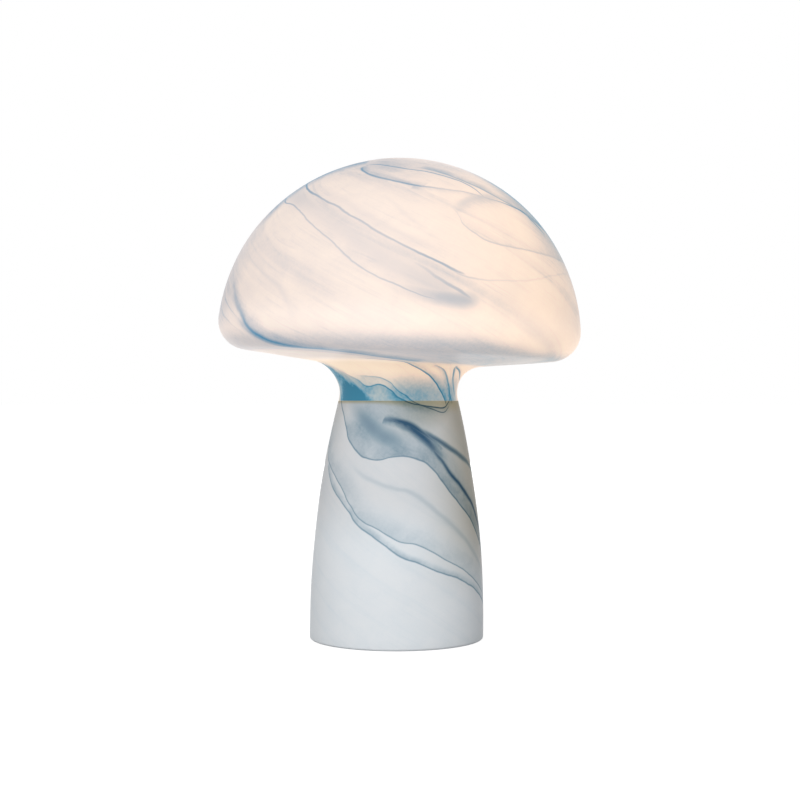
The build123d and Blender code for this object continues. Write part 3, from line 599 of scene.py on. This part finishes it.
def glass_profile(inset):
    """Radius and height from the crown to the foot's edge, moved inwards by inset."""
    slope = radians(UNDERSIDE_SLOPE)
    neck = (NECK_R + NECK_FILLET, NECK_Z)
    down = (sin(slope), -cos(slope))
    out = (cos(slope), sin(slope))
    x0 = neck[0] - down[0] * (NECK_FILLET + RIM_R)
    z0 = neck[1] - down[1] * (NECK_FILLET + RIM_R) - CAP_Z
    along = x0 * out[0] + z0 * out[1]
    reach = -along + sqrt(along**2 - x0**2 - z0**2 + (CAP_R - RIM_R) ** 2)
    rim = (x0 + reach * out[0], z0 + reach * out[1] + CAP_Z)
    rim_angle = degrees(atan2(rim[1] - CAP_Z, rim[0]))
    stem_x = FOOT_R - STEM_ARC
    stem_angle = degrees(acos((neck[0] - stem_x) / (STEM_ARC + NECK_FILLET)))
    stem = (stem_x, neck[1] - (STEM_ARC + NECK_FILLET) * sin(radians(stem_angle)))
    crown = arc_points((0, CAP_Z), CAP_R - inset, 90, rim_angle, 4.0)
    roll = arc_points(rim, RIM_R - inset, rim_angle, UNDERSIDE_SLOPE - 90, 1.6)
    waist = arc_points(neck, NECK_FILLET + inset, 90 + UNDERSIDE_SLOPE, 180 + stem_angle, 1.5)
    bulge = arc_points(stem, STEM_ARC - inset, stem_angle, 0, 5.0)
    flat = [tuple(a + (b - a) * i / 10 for a, b in zip(roll[-1], waist[0])) for i in range(1, 10)]
    return crown + roll[1:] + flat + waist + bulge[1:]


def runs(profile):
    """Distance along a profile at each of its points."""
    total, out = 0.0, [0.0]
    for before, here in zip(profile, profile[1:]):
        total += hypot(here[0] - before[0], here[1] - before[1])
        out.append(total)
    return out


def smooth(t):
    """Smooth step from 0 to 1."""
    t = min(max(t, 0.0), 1.0)
    return t * t * (3 - 2 * t)


def blown(x, y, z, outer):
    """Moves a point of the ideal glass to where the hand-blown one has it."""
    weight = smooth((z - 152) / 20)
    follow = 1.0 if outer else weight
    angle = radians(TILT) * weight
    x += LEAN * (z - 150) * follow
    x, rise = x * cos(angle) + (z - CAP_Z) * sin(angle), (z - CAP_Z) * cos(angle) - x * sin(angle)
    if outer:
        turn = atan2(y, x)
        ripple = 0.12 * sin(3 * turn + z / 23) + 0.08 * sin(5 * turn - z / 11 + 1.0)
        ripple *= smooth(z / 20)
        radius = max(hypot(x, y), 1.0)
        x, y = x * (1 + ripple / radius), y * (1 + ripple / radius)
    return x * MM, y * MM, (rise + CAP_Z) * MM


OUTSIDE = glass_profile(0)
INSIDE = glass_profile(WALL)
FOOT_EDGE = [
    (FOOT_R - FOOT_EDGE_R * (1 - cos(radians(a))), FOOT_EDGE_R * (1 - sin(radians(a))))
    for a in (0, 22, 45, 68, 90)
]
FOOT_INSIDE = [
    (FOOT_R - WALL + FOOT_LIP, 0.0),
    (FOOT_R - WALL + 0.3 * FOOT_LIP, 0.3 * FOOT_LIP),
    (FOOT_R - WALL, FOOT_LIP),
]
OUTER_MARKS = runs(OUTSIDE + FOOT_EDGE)
GLASS_RUN = OUTER_MARKS[-1]


def glass_mesh():
    """Closed body of revolution: outside, foot and inside, with azimuth and run as its UV map."""
    profile = OUTSIDE + FOOT_EDGE + FOOT_INSIDE + INSIDE[::-1]
    inner = runs(INSIDE)
    stretch = runs(OUTSIDE)[-1] / inner[-1]
    marks = OUTER_MARKS + [GLASS_RUN] * len(FOOT_INSIDE) + [r * stretch for r in reversed(inner)]
    outer_count = len(OUTSIDE + FOOT_EDGE) + 1
    verts, rings = [], []
    for i, (r, z) in enumerate(profile):
        outer = i < outer_count
        if r < 1e-6:
            rings.append([len(verts)])
            verts.append(blown(0.0, 0.0, z, outer))
            continue
        rings.append(list(range(len(verts), len(verts) + AROUND)))
        for k in range(AROUND):
            a = 2 * pi * k / AROUND
            verts.append(blown(-r * sin(a), r * cos(a), z, outer))
    faces, coords = [], []
    for i in range(len(rings) - 1):
        top, low = rings[i], rings[i + 1]
        for k in range(AROUND):
            j = (k + 1) % AROUND
            u0, u1 = k / AROUND, (k + 1) / AROUND
            v0, v1 = marks[i] / GLASS_RUN, marks[i + 1] / GLASS_RUN
            if len(top) == 1:
                faces.append((top[0], low[k], low[j]))
                coords += [((u0 + u1) / 2, v0), (u0, v1), (u1, v1)]
            elif len(low) == 1:
                faces.append((top[j], top[k], low[0]))
                coords += [(u1, v0), (u0, v0), ((u0 + u1) / 2, v1)]
            else:
                faces.append((top[k], low[k], low[j], top[j]))
                coords += [(u0, v0), (u0, v1), (u1, v1), (u1, v0)]
    mesh = bpy.data.meshes.new("blown_glass")
    mesh.from_pydata(verts, [], faces)
    layer = mesh.uv_layers.new(name="surface")
    for loop, uv in zip(layer.data, coords):
        loop.uv = uv
    mesh.shade_smooth()
    return mesh


def notch_cutter():
    """Arch-shaped block that cuts the rear of the foot for the cord's inlet."""
    below = -3.0
    near, far = FOOT_R - 14, FOOT_R + 12
    outline = [(NOTCH_R, below), (-NOTCH_R, below)]
    outline += [
        (-NOTCH_R * cos(radians(a)), NOTCH_Z + NOTCH_R * sin(radians(a))) for a in range(0, 181, 9)
    ]
    count = len(outline)
    verts = [(x * MM, y * MM, z * MM) for y in (near, far) for x, z in outline]
    faces = [tuple(range(count)), tuple(reversed(range(count, 2 * count)))]
    faces += [(i, i + count, (i + 1) % count + count, (i + 1) % count) for i in range(count)]
    mesh = bpy.data.meshes.new("notch")
    mesh.from_pydata(verts, [], faces)
    mesh.update()
    return mesh


def add(name, mesh, *materials):
    """A new object in the scene."""
    made = bpy.data.objects.new(name, mesh)
    bpy.context.scene.collection.objects.link(made)
    for look in materials:
        made.data.materials.append(look)
    return made


def glass_body():
    """The blown glass with its notch, in place of the plain one."""
    glass = add("blown_glass", glass_mesh(), marbled_glass())
    cutter = add("notch_cutter", notch_cutter())
    cut = glass.modifiers.new("notch", "BOOLEAN")
    cut.operation, cut.solver, cut.object = "DIFFERENCE", "EXACT", cutter
    bpy.context.view_layer.update()
    shaped = bpy.data.meshes.new_from_object(glass.evaluated_get(bpy.context.evaluated_depsgraph_get()))
    glass.modifiers.clear()
    glass.data = shaped
    bpy.data.objects.remove(cutter)
    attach(glass, "glass")
    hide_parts("glass_shade")


# ================= bulb cap =================
def threaded_cap():
    """Screw cap of the bulb with its rounded thread, in place of the plain cup."""
    low, top, radius, sheet, mouth = 140.5, 164.0, 13.0, 0.4, 7.0
    pitch, around = 3.63, 96
    rows = [(mouth, low), (radius - 1.6, low + 2.5)]
    z = low + 4
    while z < top - 0.2:
        rows.append((None, z))
        z += pitch / 12
    rows += [(radius, top), (radius - sheet, top), (radius - sheet, low + 16), (radius - 1.4, low + 12)]
    rows += [(radius - 1.6, low + 4.4), (radius - 2.2, low + 3.1), (mouth, low + sheet)]
    verts = []
    for r, z in rows:
        for k in range(around):
            a = 2 * pi * k / around
            if r is None:
                depth = 0.9 - 0.54 * smooth((z - 151.5) / 2.2) - 0.36 * smooth((z - 160) / 2)
                depth *= smooth((z - low - 4) / 2)
                here = radius - depth * (0.5 - 0.5 * cos(2 * pi * z / pitch - a))
            else:
                here = r
            verts.append((here * cos(a) * MM, here * sin(a) * MM, z * MM))
    count = len(rows)
    faces = []
    for i in range(count):
        for k in range(around):
            j = (k + 1) % around
            n = (i + 1) % count
            faces.append((i * around + k, i * around + j, n * around + j, n * around + k))
    mesh = bpy.data.meshes.new("bulb_cap")
    mesh.from_pydata(verts, [], faces)
    mesh.shade_smooth()
    return mesh


# ================= finishes of the other pieces =================
GRAIN_DEPTH = 0.00004


def finish(name, colour, rough, metallic=0.0, grain=900.0, mottle=0.06, glow=0.0, coat=0.0, thread=0.0):
    """Plain finish with cloudy colour, uneven gloss, a fine grain, and a thread round Z if asked for."""
    made, g, shader = material(name)
    place = g.node("TexCoord").outputs["Object"]
    cloud = g.noise(place, 70.0, 3.0, 0.6)
    dark = tuple(c * (1 - mottle) for c in colour[:3]) + (1.0,)
    light = tuple(min(1.0, c * (1 + mottle)) for c in colour[:3]) + (1.0,)
    g.put(shader.inputs["Base Color"], g.mix(g.ramp(cloud, 0.35, 0.65), dark, light))
    g.put(shader.inputs["Roughness"], g.ramp(g.noise(place, 260.0), 0.3, 0.7, rough * 0.85, rough * 1.15))
    shader.inputs["Metallic"].default_value = metallic
    shader.inputs["Coat Weight"].default_value = coat
    normal = g.bump(g.noise(place, grain, 3.0, 0.6), GRAIN_DEPTH, 0.5)
    if thread:
        x, y, z = g.split(place)
        round_z = g.math("DIVIDE", g.math("ARCTAN2", y, x), 2 * pi)
        turns = g.math("ADD", round_z, g.math("DIVIDE", z, thread * MM))
        ridge = g.math("MULTIPLY_ADD", g.math("SINE", g.math("MULTIPLY", turns, 2 * pi)), 0.5, 0.5)
        normal = g.bump(ridge, thread * MM * 0.25, 1.0, normal)
    g.put(shader.inputs["Normal"], normal)
    if glow:
        shader.inputs["Emission Color"].default_value = colour
        shader.inputs["Emission Strength"].default_value = glow
    return made


FINISHES = {
    "white_steel": dict(colour=rgb(214, 214, 211), rough=0.38, grain=700.0, coat=0.3),
    "zinc_steel": dict(colour=rgb(176, 178, 181), rough=0.32, metallic=1.0, grain=1500.0, mottle=0.12),
    "soft_trim": dict(colour=rgb(198, 198, 193), rough=0.7, grain=2200.0),
    "foot_rubber": dict(colour=rgb(52, 52, 53), rough=0.8, grain=1800.0, mottle=0.15),
    "holder_plastic": dict(colour=rgb(216, 215, 209), rough=0.42, grain=1600.0),
    "inlet_plastic": dict(colour=rgb(212, 212, 208), rough=0.5, grain=1800.0),
    "core_ceramic": dict(colour=rgb(218, 212, 198), rough=0.45, grain=1200.0, mottle=0.1),
    "block_plastic": dict(colour=rgb(216, 212, 198), rough=0.5, grain=1600.0),
    "contact_brass": dict(colour=rgb(206, 172, 104), rough=0.3, metallic=1.0, grain=1500.0, mottle=0.18),
    "live_brown": dict(colour=rgb(96, 58, 40), rough=0.42, grain=1800.0),
    "neutral_blue": dict(colour=rgb(48, 92, 158), rough=0.42, grain=1800.0),
    "bulb_metal": dict(colour=rgb(190, 190, 188), rough=0.24, metallic=1.0, grain=1500.0, mottle=0.1),
    "pin_metal": dict(colour=rgb(180, 180, 175), rough=0.4, metallic=1.0, grain=1800.0, mottle=0.15),
    "insulator_dark": dict(colour=rgb(38, 38, 42), rough=0.15, grain=600.0, mottle=0.2),
    "bulb_white": dict(colour=rgb(218, 218, 215), rough=0.28, grain=1200.0),
    "board_green": dict(colour=rgb(46, 116, 72), rough=0.4, grain=1500.0, mottle=0.15),
    "plate_aluminium": dict(colour=rgb(204, 204, 204), rough=0.35, metallic=1.0, grain=1500.0),
    "led_phosphor": dict(colour=rgb(240, 206, 96), rough=0.5, grain=1500.0),
    "bulb_opal": dict(colour=rgb(220, 204, 180), rough=0.35, grain=600.0, mottle=0.02, glow=0.32),
}
THREADS = {"centre_tube": 1.0, "holder_barrel": 2.5}  # pitch in millimetres


def dress_nodes():
    """Gives each CAD node the finish of its material slot in the record."""
    made = {name: finish(name, **how) for name, how in FINISHES.items()}
    for part in frame["record"]["subparts"]:
        node, slot = part["node"], part["material_slot"]
        if slot not in made:
            continue
        look = made[slot]
        if node in THREADS:
            look = finish(node, thread=THREADS[node], **FINISHES[slot])
        shown = frame["nodes"][node]
        shown.data.materials.clear()
        shown.data.materials.append(look)
    cap = add("bulb_cap", threaded_cap(), made["bulb_metal"])
    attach(cap, "bulb")
    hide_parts("bulb_shell")


# ================= stage =================
def background_ray(g):
    """1 for rays that should see the plain white background."""
    path = g.node("LightPath").outputs
    seen = g.math("MAXIMUM", path["Is Camera Ray"], path["Is Glossy Ray"])
    return g.math("MAXIMUM", seen, path["Is Transmission Ray"])


def floor():
    """Pale floor that looks white and keeps the lamp's shadow."""
    made, g, shader = material("floor_white")
    place = g.node("TexCoord").outputs["Object"]
    shader.inputs["Base Color"].default_value = (FLOOR_GREY, FLOOR_GREY, FLOOR_GREY, 1.0)
    g.put(shader.inputs["Roughness"], g.ramp(g.noise(place, 40.0), 0.3, 0.7, 0.85, 0.95))
    shader.inputs["Specular IOR Level"].default_value = 0.0
    shader.inputs["Emission Color"].default_value = (1.0, 1.0, 1.0, 1.0)
    g.put(shader.inputs["Emission Strength"], g.math("MULTIPLY", background_ray(g), FLOOR_GLOW))
    corners = [(x * FLOOR_REACH, y * FLOOR_REACH, 0) for x, y in ((-1, -1), (1, -1), (1, 1), (-1, 1))]
    mesh = bpy.data.meshes.new("floor")
    mesh.from_pydata(corners, [], [(0, 1, 2, 3)])
    plane = add("floor", mesh, made)


def world():
    """Even white light, and white where nothing is."""
    made = bpy.data.worlds.new("studio")
    bpy.context.scene.world = made
    made.use_nodes = True
    g = Graph(made.node_tree)
    background = made.node_tree.nodes["Background"]
    background.inputs["Color"].default_value = (1.0, 1.0, 1.0, 1.0)
    g.put(background.inputs["Strength"], g.ramp(background_ray(g), 0.0, 1.0, AMBIENT, 1.0))


def lamp(name, place, power, glossy=True):
    """Large round studio lamp, aimed at the middle of the lamp on the table."""
    data = bpy.data.lights.new(name, "AREA")
    data.shape, data.size, data.energy = "DISK", LAMP_SIZE, power
    made = bpy.data.objects.new(name, data)
    bpy.context.scene.collection.objects.link(made)
    made.location = place
    made.rotation_euler = (Vector(LAMP_AIM) - Vector(place)).to_track_quat("-Z", "Y").to_euler()
    made.visible_glossy = glossy


def camera():
    """Camera of the photograph: level, a little above the waist's foot."""
    data = bpy.data.cameras.new("camera")
    data.lens, data.sensor_width = LENS, SENSOR
    made = bpy.data.objects.new("camera", data)
    bpy.context.scene.collection.objects.link(made)
    made.location = (CAMERA_SHIFT * MM, -CAMERA_DISTANCE * MM, CAMERA_HEIGHT * MM)
    made.rotation_euler = (pi / 2, 0, 0)
    bpy.context.scene.camera = made


camera()
world()
floor()
lamp("key", (-0.7, -2.4, 1.0), 39)
lamp("fill", (0.6, -2.2, 0.12), 10)
lamp("back", (0.0, 2.4, 0.8), 26, glossy=False)
glass_body()
dress_nodes()
bpy.context.scene.view_settings.view_transform = "Standard"
